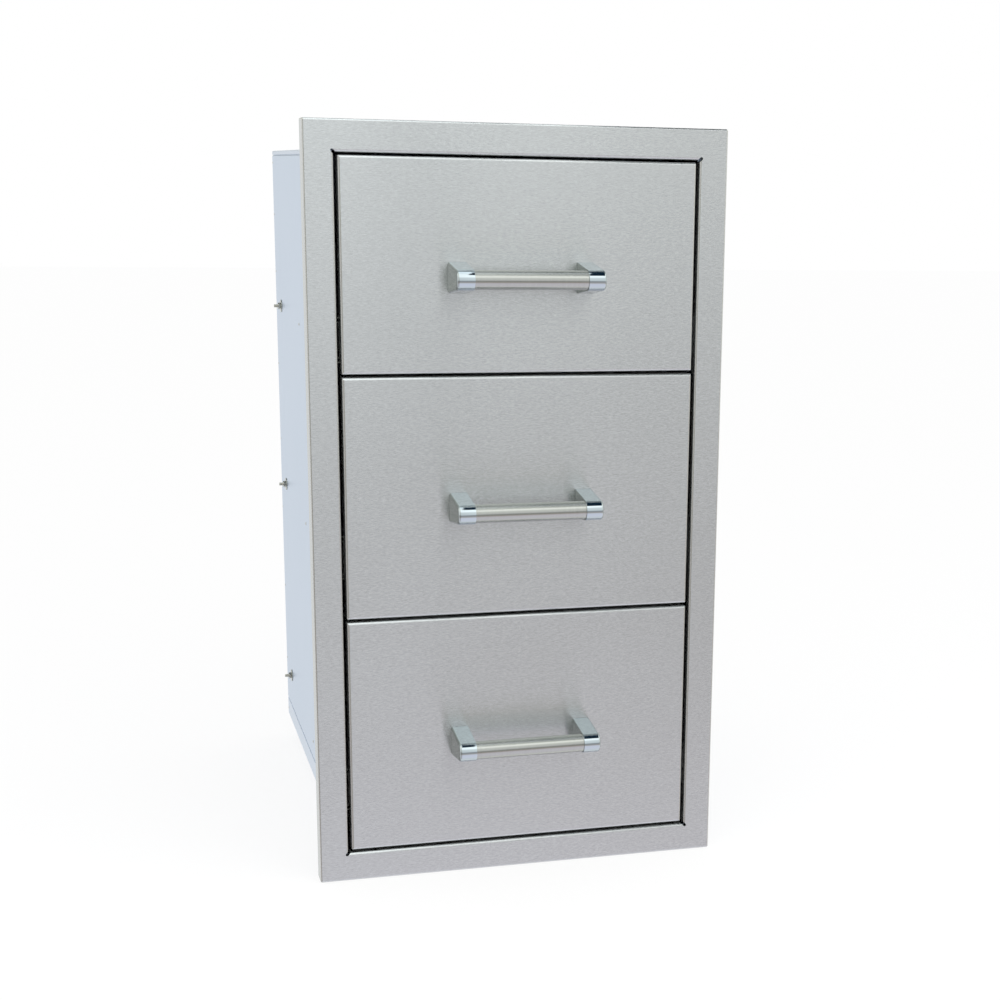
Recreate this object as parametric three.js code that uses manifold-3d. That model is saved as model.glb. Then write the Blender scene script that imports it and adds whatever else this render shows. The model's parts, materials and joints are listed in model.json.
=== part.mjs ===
// Built-in outdoor kitchen drawer unit: a stainless box behind a face frame, with three drawers
// on full-extension slides. Millimetres, +Z up, front towards -Y, X across.
// The origin is on the underside of the box, mid-width, in the back plane of the face frame.
import * as THREE from 'three';
import { mergeVertices } from 'three/addons/utils/BufferGeometryUtils.js';
import Module from 'manifold-3d';

const wasm = await Module();
wasm.setup();

// Sheet metal and fits
const sheet = 1.2;
const seatGap = 0.3;
const seamGap = 0.8;
const runningGap = 0.4;
const overrun = 6;
const weldTolerance = 0.0003;
const bendSteps = 3;
const roundSteps = 16;
const tubeSteps = 32;
const hexagon = 6;

// Face frame
const openingWidth = 371.3;
const openingHeight = 714.7;
const frameSideBar = 29.05;
const frameTopBar = 30.3;
const frameBottomBar = 29.7;
const frameLipDepth = 19.05;
const frameReturnDepth = 10;
const frameBend = 2;
const frameCorner = 3;
const reliefLength = 5;
const reliefWidth = 2;

// Box behind the frame
const boxDepth = 520.35;
const panUpturn = 23.2;
const topDownturn = 5.5;
const lapHeight = 18;
const backFlange = 12;
const panelBend = 1.2;

// Drawer fronts, top one first, with their heights as shares of the room that the gaps leave
const frontShares = [0.2995, 0.35025, 0.35025];
const frontSideGap = 4.05;
const frontTopGap = 3.2;
const frontBottomGap = 4.6;
const frontGap = 3.7;
const frontDepth = 18;
const frontBend = 2;
const frontCorner = 2.4;
const linerFlange = 12;

// Trays
const traySheet = 1;
const trayShorter = 20;
const trayHeight = 146;
const trayRise = 4;
const trayLip = 6;
const trayBackLip = 8;

// Slides
const slideRearRoom = 19.4;
const slideHeight = 45;
const slideWidth = 12.7;
const slideSetback = 2;
const railSheet = 1.2;
const middleSheet = 1;
const hookDepth = 4.2;
const headRoom = 2.2;
const plateRoom = 0.8;
const middleShort = 10;
const innerShort = 4;
const innerArmGap = 1.6;

// Heights of the slides' middles above the lower edge of their front, top drawer first
const slideRises = [31.5, 60, 60];

// Handles
const handleWidth = 150.3;
const handleDrop = 10.8;
const handleReach = 38;
const postWidth = 18;
const postBaseHeight = 31;
const postNose = 21;
const postBevel = 2.5;
const postSocket = 14;
const tubeDiameter = 19;
const tubeBore = 16;
const screwDiameter = 5;
const screwHeadDiameter = 9;
const screwHeadHeight = 3;
const screwDepth = 14;

// Bolts that hold the slides to the box
const boltDiameter = 4;
const boltHeadDiameter = 8;
const boltStickOut = 9;
const boltFromRear = 38;
const nutAcrossFlats = 8;
const nutThickness = 4;
const washerDiameter = 15;
const washerThickness = 0.8;

// The most of a corner's radius that the rolled edge beside it may take
const rollShare = 0.9;

// Places worked out from the sizes above
const frontY = -frameLipDepth;
const frameWidth = openingWidth + 2 * frameSideBar;
const frameHeight = openingHeight + frameTopBar + frameBottomBar;
const returnHalf = openingWidth / 2 + sheet;
const boxInner = returnHalf + seatGap;
const boxOuter = boxInner + sheet;
const openingBottom = sheet + seatGap + sheet;
const openingTop = openingBottom + openingHeight;
const boxTop = openingTop + sheet + seatGap + sheet;
const frameTop = openingTop + frameTopBar;
const frameMid = frameTop - frameHeight / 2;
const boxFrontY = frontY + sheet + seatGap;
const seamLow = panUpturn;
const seamHigh = boxTop - topDownturn;
const lapInner = boxInner - seatGap - sheet;
const lapOuter = boxInner - seatGap;
const frontWidth = openingWidth - 2 * frontSideGap;
const frontBackY = frontY + frontDepth;
const trayY = frontBackY + seatGap;
const slideY = frontBackY + slideSetback;
const slideLength = boxDepth - slideRearRoom - slideY;
const trayLength = slideLength - trayShorter;
const railOuter = boxInner - seatGap;
const trayHalf = railOuter - slideWidth - seatGap;
const boltY = slideY + slideLength - boltFromRear;

const finish = {
  brushed: { color: 0xb9bdbf, metalness: 0.9, roughness: 0.38 },
  box: { color: 0xd0d6de, metalness: 0.7, roughness: 0.45 },
  tray: { color: 0xc4c7c8, metalness: 0.85, roughness: 0.4 },
  zinc: { color: 0xb4b6b2, metalness: 0.8, roughness: 0.45 },
  chrome: { color: 0xe2e6ea, metalness: 1, roughness: 0.08 },
  satin: { color: 0xc0b8a8, metalness: 0.95, roughness: 0.32 },
};

const unit = new THREE.Group();
unit.name = 'drawer_unit';

// Solids and cuts

function solid(geometry) {
  const bare = geometry.clone();
  bare.deleteAttribute('normal');
  bare.deleteAttribute('uv');
  const merged = mergeVertices(bare, weldTolerance);
  const index = merged.index.array;
  return new wasm.Manifold(new wasm.Mesh({
    numProp: 3,
    vertProperties: Float32Array.from(merged.attributes.position.array),
    triVerts: Uint32Array.from(index),
  }));
}

function geometryOf(body) {
  const mesh = body.getMesh();
  const geometry = new THREE.BufferGeometry();
  geometry.setAttribute('position', new THREE.Float32BufferAttribute(Array.from(mesh.vertProperties), 3));
  geometry.setIndex(Array.from(mesh.triVerts));
  const flat = geometry.toNonIndexed();
  flat.computeVertexNormals();
  return flat;
}

function place(name, body, look) {
  const mesh = new THREE.Mesh(geometryOf(body), new THREE.MeshStandardMaterial(finish[look]));
  mesh.name = name;
  unit.add(mesh);
}

function block(x0, x1, y0, y1, z0, z1) {
  const box = new THREE.BoxGeometry(x1 - x0, y1 - y0, z1 - z0);
  box.translate((x0 + x1) / 2, (y0 + y1) / 2, (z0 + z1) / 2);
  return solid(box);
}

function mirrored(body) {
  const geometry = geometryOf(body);
  geometry.scale(-1, 1, 1);
  const positions = geometry.attributes.position;
  const a = new THREE.Vector3();
  const b = new THREE.Vector3();
  for (let i = 0; i < positions.count; i += 3) {
    a.fromBufferAttribute(positions, i);
    b.fromBufferAttribute(positions, i + 1);
    positions.setXYZ(i, b.x, b.y, b.z);
    positions.setXYZ(i + 1, a.x, a.y, a.z);
  }
  return solid(geometry);
}

function joined(bodies) {
  return bodies.reduce((sum, body) => sum.add(body));
}

// Outlines drawn in X and Z and pushed along Y, from yFront to yBack
function alongY(shape, yFront, yBack) {
  const geometry = new THREE.ExtrudeGeometry(shape, { depth: yBack - yFront, bevelEnabled: false });
  const turn = new THREE.Matrix4().makeBasis(
    new THREE.Vector3(1, 0, 0), new THREE.Vector3(0, 0, 1), new THREE.Vector3(0, -1, 0));
  geometry.applyMatrix4(turn);
  geometry.translate(0, yBack, 0);
  return solid(geometry);
}

// Outlines drawn in Y and Z and pushed along X, from x0 to x1, with rounded edges where a bevel is given
function alongX(shape, x0, x1, bevel = 0) {
  const geometry = new THREE.ExtrudeGeometry(shape, {
    depth: x1 - x0 - 2 * bevel,
    bevelEnabled: bevel > 0,
    bevelThickness: bevel,
    bevelSize: bevel,
    bevelOffset: -bevel,
    bevelSegments: bendSteps,
    curveSegments: tubeSteps,
  });
  const turn = new THREE.Matrix4().makeBasis(
    new THREE.Vector3(0, 1, 0), new THREE.Vector3(0, 0, 1), new THREE.Vector3(1, 0, 0));
  geometry.applyMatrix4(turn);
  geometry.translate(x0 + bevel, 0, 0);
  return solid(geometry);
}

// A round rod along X or Y
function rod(axis, diameter, from, to, at, steps = roundSteps) {
  const geometry = new THREE.CylinderGeometry(diameter / 2, diameter / 2, to - from, steps);
  if (axis === 'x') {
    geometry.rotateZ(Math.PI / 2);
    geometry.translate((from + to) / 2, at.y, at.z);
  } else {
    geometry.translate(0, (from + to) / 2, 0);
    geometry.translate(at.x, 0, at.z);
  }
  return solid(geometry);
}

function roundedRectangle(width, height, midZ, corner) {
  const x = width / 2 - corner;
  const z = height / 2 - corner;
  const shape = new THREE.Shape();
  shape.absarc(x, midZ + z, corner, 0, Math.PI / 2);
  shape.absarc(-x, midZ + z, corner, Math.PI / 2, Math.PI);
  shape.absarc(-x, midZ - z, corner, Math.PI, Math.PI * 1.5);
  shape.absarc(x, midZ - z, corner, Math.PI * 1.5, Math.PI * 2);
  return shape;
}

// A plate with rounded corners and a rolled front edge, seen square-on from the front
function rolledPlate(width, height, midZ, corner, bend, yFront, yBack) {
  const roll = Math.min(bend, corner * rollShare);
  const geometry = new THREE.ExtrudeGeometry(roundedRectangle(width, height, midZ, corner), {
    depth: yBack - yFront,
    bevelEnabled: true,
    bevelThickness: roll,
    bevelSize: roll,
    bevelOffset: -roll,
    bevelSegments: bendSteps,
    curveSegments: bendSteps,
  });
  const turn = new THREE.Matrix4().makeBasis(
    new THREE.Vector3(1, 0, 0), new THREE.Vector3(0, 0, 1), new THREE.Vector3(0, -1, 0));
  geometry.applyMatrix4(turn);
  geometry.translate(0, yBack + roll, 0);
  const rear = block(-width, width, yBack, yBack + roll * 4, midZ - height, midZ + height);
  return solid(geometry).subtract(rear);
}

// The section of a folded sheet: a band of the given thickness along a centre line with rounded bends
function foldedSheet(points, thickness, bend) {
  const line = points.map(([u, v]) => new THREE.Vector2(u, v));
  const path = [];
  line.forEach((corner, i) => {
    if (i === 0 || i === line.length - 1) {
      const other = i === 0 ? line[1] : line[i - 1];
      const away = corner.clone().sub(other).normalize();
      const along = i === 0 ? away.negate() : away;
      path.push({ at: corner, side: new THREE.Vector2(-along.y, along.x) });
      return;
    }
    const back = line[i - 1].clone().sub(corner);
    const ahead = line[i + 1].clone().sub(corner);
    const turn = Math.PI - Math.abs(back.angleTo(ahead));
    const room = Math.min(back.length(), ahead.length()) / 2;
    const radius = Math.min(bend, room / Math.tan(turn / 2));
    back.normalize();
    ahead.normalize();
    const from = back.clone().negate();
    const sign = Math.sign(from.cross(ahead));
    const start = corner.clone().addScaledVector(back, radius * Math.tan(turn / 2));
    const centre = start.clone().add(new THREE.Vector2(-from.y, from.x).multiplyScalar(sign * radius));
    for (let k = 0; k <= bendSteps; k += 1) {
      const side = new THREE.Vector2(-from.y, from.x);
      side.rotateAround(new THREE.Vector2(), sign * turn * k / bendSteps);
      path.push({ at: centre.clone().addScaledVector(side, -sign * radius), side });
    }
  });
  const left = path.map(({ at, side }) => at.clone().addScaledVector(side, thickness / 2));
  const right = path.map(({ at, side }) => at.clone().addScaledVector(side, -thickness / 2));
  return new THREE.Shape([...left, ...right.reverse()]);
}

// Face frame

// A slanted slot with round ends at a corner of the opening, where two inner returns meet
function reliefSlot(x, z, slant) {
  const radius = reliefWidth / 2;
  const reach = reliefLength - radius;
  const across = Math.cos(slant) * reach;
  const up = Math.sin(slant) * reach;
  const shape = new THREE.Shape();
  shape.absarc(x + across, z + up, radius, slant - Math.PI / 2, slant + Math.PI / 2);
  shape.absarc(x - across, z - up, radius, slant + Math.PI / 2, slant + Math.PI * 1.5);
  return alongY(shape, frontY - overrun, overrun);
}

function faceFrame() {
  const plate = rolledPlate(frameWidth, frameHeight, frameMid, frameCorner, frameBend, frontY, 0);
  const hollowWidth = frameWidth - 2 * sheet;
  const hollowHeight = frameHeight - 2 * sheet;
  const hollowOutline = roundedRectangle(hollowWidth, hollowHeight, frameMid, frameCorner - sheet);
  const hollow = alongY(hollowOutline, frontY + sheet, overrun);
  const returns = block(-returnHalf, returnHalf, frontY + sheet / 2, frontY + frameReturnDepth,
    openingBottom - sheet, openingTop + sheet);
  const opening = block(-openingWidth / 2, openingWidth / 2, frontY - overrun, overrun,
    openingBottom, openingTop);
  let frame = plate.subtract(hollow).add(returns).subtract(opening);
  for (const side of [-1, 1]) {
    frame = frame.subtract(reliefSlot(side * openingWidth / 2, openingTop, side * Math.PI / 4));
    frame = frame.subtract(reliefSlot(side * openingWidth / 2, openingBottom, -side * Math.PI / 4));
  }
  return frame;
}

// Box

function boltHoles(side) {
  const from = side > 0 ? lapInner - overrun : -boxOuter - overrun;
  const to = side > 0 ? boxOuter + overrun : -lapInner + overrun;
  const holes = slideMids().map((z) => rod('x', boltDiameter + 2 * seatGap, from, to, { y: boltY, z }));
  return joined(holes);
}

function sidePanel(side) {
  const outer = boxInner + sheet / 2;
  const lap = lapInner + sheet / 2;
  const section = foldedSheet([
    [lap, seamLow - lapHeight],
    [lap, seamLow + sheet / 2],
    [outer, seamLow + sheet / 2],
    [outer, seamHigh - sheet / 2],
    [lap, seamHigh - sheet / 2],
    [lap, boxTop - sheet - seatGap],
  ], sheet, panelBend);
  let panel = alongY(section, boxFrontY, boxDepth);
  const lapFront = frontY + frameReturnDepth + seatGap;
  panel = panel.subtract(block(lapInner - overrun, boxInner, boxFrontY - overrun, lapFront, -overrun, boxTop));
  panel = panel.subtract(block(lapInner - overrun, boxInner, boxDepth - sheet - seatGap, boxDepth + overrun,
    -overrun, boxTop));
  if (side < 0) {
    panel = mirrored(panel);
  }
  return panel.subtract(boltHoles(side));
}

function bottomPan() {
  const x = boxInner + sheet / 2;
  const z = sheet / 2;
  const top = seamLow - seamGap;
  const section = foldedSheet([[-x, top], [-x, z], [x, z], [x, top]], sheet, panelBend);
  return alongY(section, boxFrontY, boxDepth);
}

function topPanel() {
  const x = boxInner + sheet / 2;
  const z = boxTop - sheet / 2;
  const low = seamHigh + seamGap;
  const section = foldedSheet([[-x, low], [-x, z], [x, z], [x, low]], sheet, panelBend);
  return alongY(section, boxFrontY, boxDepth);
}

function backPanel() {
  const low = sheet + seatGap;
  const high = boxTop - sheet - seatGap;
  const sideLow = seamLow + sheet + seatGap;
  const sideHigh = seamHigh - sheet - seatGap;
  const flangeHalf = lapInner - seatGap;
  const rearY = boxDepth - sheet;
  const flangeY = boxDepth - backFlange;
  let panel = block(-lapOuter, lapOuter, rearY, boxDepth, low, high);
  panel = panel.add(block(-flangeHalf, flangeHalf, flangeY, boxDepth, low, low + sheet));
  panel = panel.add(block(-flangeHalf, flangeHalf, flangeY, boxDepth, high - sheet, high));
  panel = panel.add(block(lapInner, lapOuter, flangeY, boxDepth, sideLow, sideHigh));
  panel = panel.add(block(-lapOuter, -lapInner, flangeY, boxDepth, sideLow, sideHigh));
  return panel;
}

// Heights of the three drawers, top one first

function frontSpans() {
  const room = openingHeight - frontTopGap - frontBottomGap - (frontShares.length - 1) * frontGap;
  let top = openingTop - frontTopGap;
  return frontShares.map((share) => {
    const height = room * share;
    const span = { low: top - height, high: top };
    top -= height + frontGap;
    return span;
  });
}

function slideMids() {
  return frontSpans().map(({ low }, i) => low + slideRises[i]);
}

// Slides. Sections are drawn for the right-hand side, s running from the box wall towards the drawer.

const hookOuter = slideWidth - railSheet - plateRoom;
const middlePlate = railSheet + headRoom;
const middleHalf = slideHeight / 2 - hookDepth - runningGap;
const innerHalf = middleHalf - hookDepth - runningGap;

function railSection(points, thickness, mid) {
  const line = points.map(([s, h]) => [railOuter - s, mid + h]);
  return foldedSheet(line, thickness, thickness);
}

function channel(mid, plateS, tipS, half, hook, thickness) {
  const t = thickness / 2;
  const points = [];
  if (hook > 0) {
    points.push([tipS - t, half - hook]);
  }
  points.push([tipS - t, half - t], [plateS + t, half - t], [plateS + t, -half + t], [tipS - t, -half + t]);
  if (hook > 0) {
    points.push([tipS - t, -half + hook]);
  }
  return railSection(points, thickness, mid);
}

function outerRail(mid, side) {
  const section = channel(mid, 0, hookOuter, slideHeight / 2, hookDepth, railSheet);
  let rail = alongY(section, slideY, slideY + slideLength);
  if (side < 0) {
    rail = mirrored(rail);
  }
  return rail.subtract(boltHoles(side));
}

function middleRail(mid, side) {
  const tip = hookOuter - railSheet - seatGap;
  const section = channel(mid, middlePlate, tip, middleHalf, hookDepth, middleSheet);
  const rail = alongY(section, slideY, slideY + slideLength - middleShort);
  return side < 0 ? mirrored(rail) : rail;
}

function innerRail(mid, side) {
  const t = railSheet / 2;
  const tip = middlePlate + middleSheet + innerArmGap;
  const section = railSection([
    [tip, innerHalf - t],
    [slideWidth - t, innerHalf - t],
    [slideWidth - t, -innerHalf + t],
    [tip, -innerHalf + t],
  ], railSheet, mid);
  const rail = alongY(section, slideY, trayY + trayLength - innerShort);
  return side < 0 ? mirrored(rail) : rail;
}

// The bolt of a slide with its washer and nut, drawn on the right-hand side and mirrored for the left
function slideBolt(mid, side) {
  const at = { y: boltY, z: mid };
  const plate = railOuter - railSheet;
  const washerX = boxOuter + seatGap;
  const nutX = washerX + washerThickness;
  const acrossCorners = nutAcrossFlats / Math.cos(Math.PI / 6);
  const bolt = joined([
    rod('x', boltHeadDiameter, plate + seatGap - headRoom, plate - seatGap, at),
    rod('x', boltDiameter, plate - seatGap * 2, boxOuter + boltStickOut, at),
    rod('x', washerDiameter, washerX, nutX, at, tubeSteps),
    rod('x', acrossCorners, washerX + washerThickness / 2, nutX + nutThickness, at, hexagon),
  ]);
  return side < 0 ? mirrored(bolt) : bolt;
}

// Drawer fronts

function postCentre() {
  return handleWidth / 2 - postWidth / 2;
}

function handleZ({ low, high }) {
  return (low + high) / 2 - handleDrop;
}

function frontSkin(span) {
  const height = span.high - span.low;
  const mid = (span.low + span.high) / 2;
  const shell = rolledPlate(frontWidth, height, mid, frontCorner, frontBend, frontY, frontBackY);
  const half = frontWidth / 2 - sheet;
  const hollow = block(-half, half, frontY + sheet, frontBackY + overrun, span.low + sheet, span.high - sheet);
  let skin = shell.subtract(hollow);
  for (const side of [-1, 1]) {
    skin = skin.subtract(rod('y', screwDiameter + 2 * seatGap, frontY - overrun, frontY + overrun,
      { x: side * postCentre(), z: handleZ(span) }));
  }
  return skin;
}

function frontLiner(span) {
  const half = frontWidth / 2 - sheet - seatGap;
  const low = span.low + sheet + seatGap;
  const high = span.high - sheet - seatGap;
  const outer = block(-half, half, frontBackY - linerFlange, frontBackY, low, high);
  const hollow = block(-half + sheet, half - sheet, frontBackY - linerFlange - overrun, frontBackY - sheet,
    low + sheet, high - sheet);
  return outer.subtract(hollow);
}

// Trays

// Bottom and both sides of a tray, folded from one sheet, with a lip turned outwards along each side
function trayPan(span) {
  const low = span.low + trayRise + traySheet / 2;
  const high = span.low + trayRise + trayHeight - traySheet / 2;
  const x = trayHalf - traySheet / 2;
  const section = foldedSheet([
    [-x - trayLip, high], [-x, high], [-x, low], [x, low], [x, high], [x + trayLip, high],
  ], traySheet, traySheet);
  return alongY(section, trayY, trayY + trayLength);
}

function trayBack(span) {
  const half = trayHalf - traySheet - seatGap;
  const floor = span.low + trayRise + traySheet + seatGap;
  const top = span.low + trayRise + trayHeight - traySheet / 2;
  const y = trayY + trayLength - traySheet / 2;
  const section = foldedSheet([[y, floor], [y, top], [y + trayBackLip, top]], traySheet, traySheet);
  return alongX(section, -half, half);
}

// Handles

// The side of a post: straight flanks that run from the base and meet the round nose at a tangent
function postOutline(z) {
  const noseY = frontY - handleReach;
  const seatY = frontY - seatGap;
  const radius = postNose / 2;
  const half = postBaseHeight / 2;
  const slope = Math.atan2(half, seatY - noseY);
  const reach = Math.hypot(half, seatY - noseY);
  const upper = slope + Math.acos(radius / reach);
  const shape = new THREE.Shape();
  shape.moveTo(seatY + postBevel * 2, z - half);
  shape.lineTo(seatY + postBevel * 2, z + half);
  shape.lineTo(seatY, z + half);
  shape.absarc(noseY, z, radius, upper, 2 * Math.PI - upper, false);
  shape.lineTo(seatY, z - half);
  return shape;
}

// A cast post, drawn on the right and mirrored for the left: a socket for the tube on its inner side,
// rounded edges on its outer side and a screw bore in its base
function handlePost(span, side) {
  const z = handleZ(span);
  const noseY = frontY - handleReach;
  const seatY = frontY - seatGap;
  const outer = handleWidth / 2;
  const inner = outer - postWidth;
  const cast = alongX(postOutline(z), inner - postBevel * 2, outer, postBevel);
  const below = z - postBaseHeight;
  const above = z + postBaseHeight;
  const innerEnd = block(inner - postBevel * 4, inner, noseY - postNose, overrun, below, above);
  const baseEnd = block(inner - overrun, outer + overrun, seatY, overrun, below, above);
  const socket = rod('x', tubeDiameter + 2 * seatGap, inner - overrun, inner + postSocket,
    { y: noseY, z }, tubeSteps);
  const bore = rod('y', screwDiameter + 2 * seatGap, frontY - screwDepth - seatGap, overrun,
    { x: postCentre(), z });
  const post = cast.subtract(innerEnd).subtract(baseEnd).subtract(socket).subtract(bore);
  return side < 0 ? mirrored(post) : post;
}

// The screw that holds a post, from behind the front's skin
function handleScrew(span, side) {
  const at = { x: side * postCentre(), z: handleZ(span) };
  const headY = frontY + sheet + seatGap;
  const shank = rod('y', screwDiameter, frontY - screwDepth, headY + screwHeadHeight / 2, at);
  return shank.add(rod('y', screwHeadDiameter, headY, headY + screwHeadHeight, at));
}

function handleTube(span) {
  const end = handleWidth / 2 - postWidth + postSocket - seatGap;
  const at = { y: frontY - handleReach, z: handleZ(span) };
  const tube = rod('x', tubeDiameter, -end, end, at, tubeSteps);
  return tube.subtract(rod('x', tubeBore, -end - overrun, end + overrun, at, tubeSteps));
}

// The whole unit

const sides = { left: -1, right: 1 };

place('face_frame', faceFrame(), 'brushed');
place('box_top_panel', topPanel(), 'box');
place('box_bottom_pan', bottomPan(), 'box');
place('box_back_panel', backPanel(), 'box');
for (const [where, side] of Object.entries(sides)) {
  place(`box_side_panel_${where}`, sidePanel(side), 'box');
}

['top', 'middle', 'bottom'].forEach((level, i) => {
  const span = frontSpans()[i];
  const mid = slideMids()[i];
  place(`${level}_drawer_front_skin`, frontSkin(span), 'brushed');
  place(`${level}_drawer_front_liner`, frontLiner(span), 'tray');
  place(`${level}_drawer_tray_pan`, trayPan(span), 'tray');
  place(`${level}_drawer_tray_back`, trayBack(span), 'tray');
  place(`${level}_drawer_handle_tube`, handleTube(span), 'satin');
  for (const [where, side] of Object.entries(sides)) {
    place(`${level}_drawer_handle_post_${where}`, handlePost(span, side), 'chrome');
    place(`${level}_drawer_handle_screw_${where}`, handleScrew(span, side), 'zinc');
    place(`${level}_slide_box_rail_${where}`, outerRail(mid, side), 'zinc');
    place(`${level}_slide_middle_rail_${where}`, middleRail(mid, side), 'zinc');
    place(`${level}_slide_drawer_rail_${where}`, innerRail(mid, side), 'zinc');
    place(`${level}_slide_bolt_${where}`, slideBolt(mid, side), 'zinc');
  }
});

export default unit;
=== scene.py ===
"""Looks for an outdoor kitchen drawer unit: steel box, face frame and three drawers with bar handles."""

import json
import math

import bmesh
import bpy
from bpy.props import FloatProperty, FloatVectorProperty, IntProperty, PointerProperty
from mathutils import Matrix, Vector

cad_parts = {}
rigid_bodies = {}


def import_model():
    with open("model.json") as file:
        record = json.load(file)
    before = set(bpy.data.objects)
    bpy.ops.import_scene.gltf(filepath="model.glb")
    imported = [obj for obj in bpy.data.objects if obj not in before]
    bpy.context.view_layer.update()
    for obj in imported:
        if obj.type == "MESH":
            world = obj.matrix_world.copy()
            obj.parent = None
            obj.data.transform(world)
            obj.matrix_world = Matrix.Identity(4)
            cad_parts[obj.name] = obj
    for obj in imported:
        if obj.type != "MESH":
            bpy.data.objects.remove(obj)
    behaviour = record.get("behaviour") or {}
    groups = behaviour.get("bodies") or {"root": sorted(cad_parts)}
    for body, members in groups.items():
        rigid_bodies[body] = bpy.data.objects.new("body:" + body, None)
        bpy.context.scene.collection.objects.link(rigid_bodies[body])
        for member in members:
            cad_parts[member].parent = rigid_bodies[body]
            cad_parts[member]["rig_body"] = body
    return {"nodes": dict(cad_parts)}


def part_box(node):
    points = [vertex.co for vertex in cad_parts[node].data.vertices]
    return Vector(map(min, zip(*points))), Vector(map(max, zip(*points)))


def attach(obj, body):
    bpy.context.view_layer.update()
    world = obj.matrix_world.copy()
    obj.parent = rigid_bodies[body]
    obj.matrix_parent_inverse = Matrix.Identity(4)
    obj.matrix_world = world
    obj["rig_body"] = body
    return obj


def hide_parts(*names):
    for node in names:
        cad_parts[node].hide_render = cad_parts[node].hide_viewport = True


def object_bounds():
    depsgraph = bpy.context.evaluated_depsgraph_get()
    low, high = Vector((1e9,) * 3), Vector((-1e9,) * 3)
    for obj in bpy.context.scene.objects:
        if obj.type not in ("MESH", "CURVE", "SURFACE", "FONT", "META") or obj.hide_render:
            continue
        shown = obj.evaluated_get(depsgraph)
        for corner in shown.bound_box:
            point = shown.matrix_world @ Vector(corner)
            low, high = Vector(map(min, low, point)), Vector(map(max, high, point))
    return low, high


bl_info = {
    "name": "Outdoor kitchen drawer unit",
    "version": (1, 0, 0),
    "blender": (4, 5, 0),
    "location": "View3D > Sidebar > Drawer unit",
    "description": "Builds the finished pieces of a three-drawer stainless unit round its packed frame",
    "category": "Add Mesh",
}

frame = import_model()
CAD_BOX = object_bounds()
NODES = frame["nodes"]
LEVELS = ("top", "middle", "bottom")
SIDES = ("left", "right")
MM = 0.001
WHITE = (1.0, 1.0, 1.0, 1.0)


# Colours and nodes


def linear(hex_colour):
    """The linear RGBA of an sRGB hex colour."""
    channels = [int(hex_colour[i : i + 2], 16) / 255 for i in (0, 2, 4)]
    return [c / 12.92 if c <= 0.04045 else ((c + 0.055) / 1.055) ** 2.4 for c in channels] + [1.0]


def either_way(colour, contrast):
    """A colour made darker and paler by a share of itself."""
    return [[min(1.0, c * share) for c in colour[:3]] + [1.0] for share in (1 - contrast, 1 + contrast)]


def add(tree, kind, inputs=None, **settings):
    """Adds a node with its settings, and its inputs as values or as links from nodes or sockets."""
    node = tree.nodes.new(kind)
    for key, value in settings.items():
        setattr(node, key, value)
    for key, value in (inputs or {}).items():
        if isinstance(value, bpy.types.Node):
            value = value.outputs[0]
        if isinstance(value, bpy.types.NodeSocket):
            tree.links.new(value, node.inputs[key])
        else:
            node.inputs[key].default_value = value
    return node


def new_material(name):
    """An empty node material and its tree."""
    material = bpy.data.materials.new(name)
    material.use_nodes = True
    material.node_tree.nodes.clear()
    return material, material.node_tree


# Materials

# The axes along which a grain's pattern changes fast: all but the one it runs along
ACROSS_GRAIN = {"X": (0, 1, 1), "Y": (1, 0, 1), "Z": (1, 1, 0), "turned": (1, 0, 0)}
# Width of the slow, uneven tone of rolled sheet, and how far it moves the roughness either way
SHEET_CLOUD, CLOUD_ROUGHNESS = 150 * MM, 0.02
# How far the scratches raise the roughness, and how deep and how strong their bump is
SCRATCH_ROUGHNESS, SCRATCH_DEPTH, SCRATCH_BUMP = 0.06, 0.02 * MM, 0.12
# How far the mottle of plain metal moves its roughness either way, as a share of it
MOTTLE_SHARE = 0.15


def brushed_steel(name, colour, grain, roughness, anisotropy, pitch, length, contrast):
    """Stainless sheet brushed along one axis: fine parallel scratches that smear reflections across them.

    The real scratches are about 0.1 mm apart. They are drawn at pitch, as coarse as they need to show.
    """
    material, tree = new_material(name)
    place = add(tree, "ShaderNodeTexCoord").outputs["Object"]
    scale = [1 / pitch if fast else 1 / length for fast in ACROSS_GRAIN[grain]]
    scratches = add(tree, "ShaderNodeMapping", {"Vector": place, "Scale": scale})
    streaks = {"Vector": scratches, "Scale": 1.0, "Detail": 3.0, "Roughness": 0.6}
    fine = add(tree, "ShaderNodeTexNoise", streaks)
    slow = add(tree, "ShaderNodeTexNoise", {"Vector": place, "Scale": 1 / SHEET_CLOUD, "Detail": 1.0})
    dark, pale = either_way(colour, contrast)
    tone = add(tree, "ShaderNodeMix", {0: fine, 6: dark, 7: pale}, data_type="RGBA")
    low, high = roughness - CLOUD_ROUGHNESS, roughness + CLOUD_ROUGHNESS
    clouds = add(tree, "ShaderNodeMapRange", {"Value": slow, "To Min": low, "To Max": high})
    rough = add(tree, "ShaderNodeMath", {0: fine, 1: SCRATCH_ROUGHNESS, 2: clouds}, operation="MULTIPLY_ADD")
    bump = add(tree, "ShaderNodeBump", {"Height": fine, "Strength": SCRATCH_BUMP, "Distance": SCRATCH_DEPTH})
    smear = add(tree, "ShaderNodeTangent", direction_type="UV_MAP", uv_map="smear")
    looks = {"Base Color": tone.outputs[2], "Metallic": 1.0, "Roughness": rough, "Normal": bump}
    looks |= {"Anisotropic": anisotropy, "Tangent": smear}
    shader = add(tree, "ShaderNodeBsdfPrincipled", looks)
    add(tree, "ShaderNodeOutputMaterial", {"Surface": shader})
    return material


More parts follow.
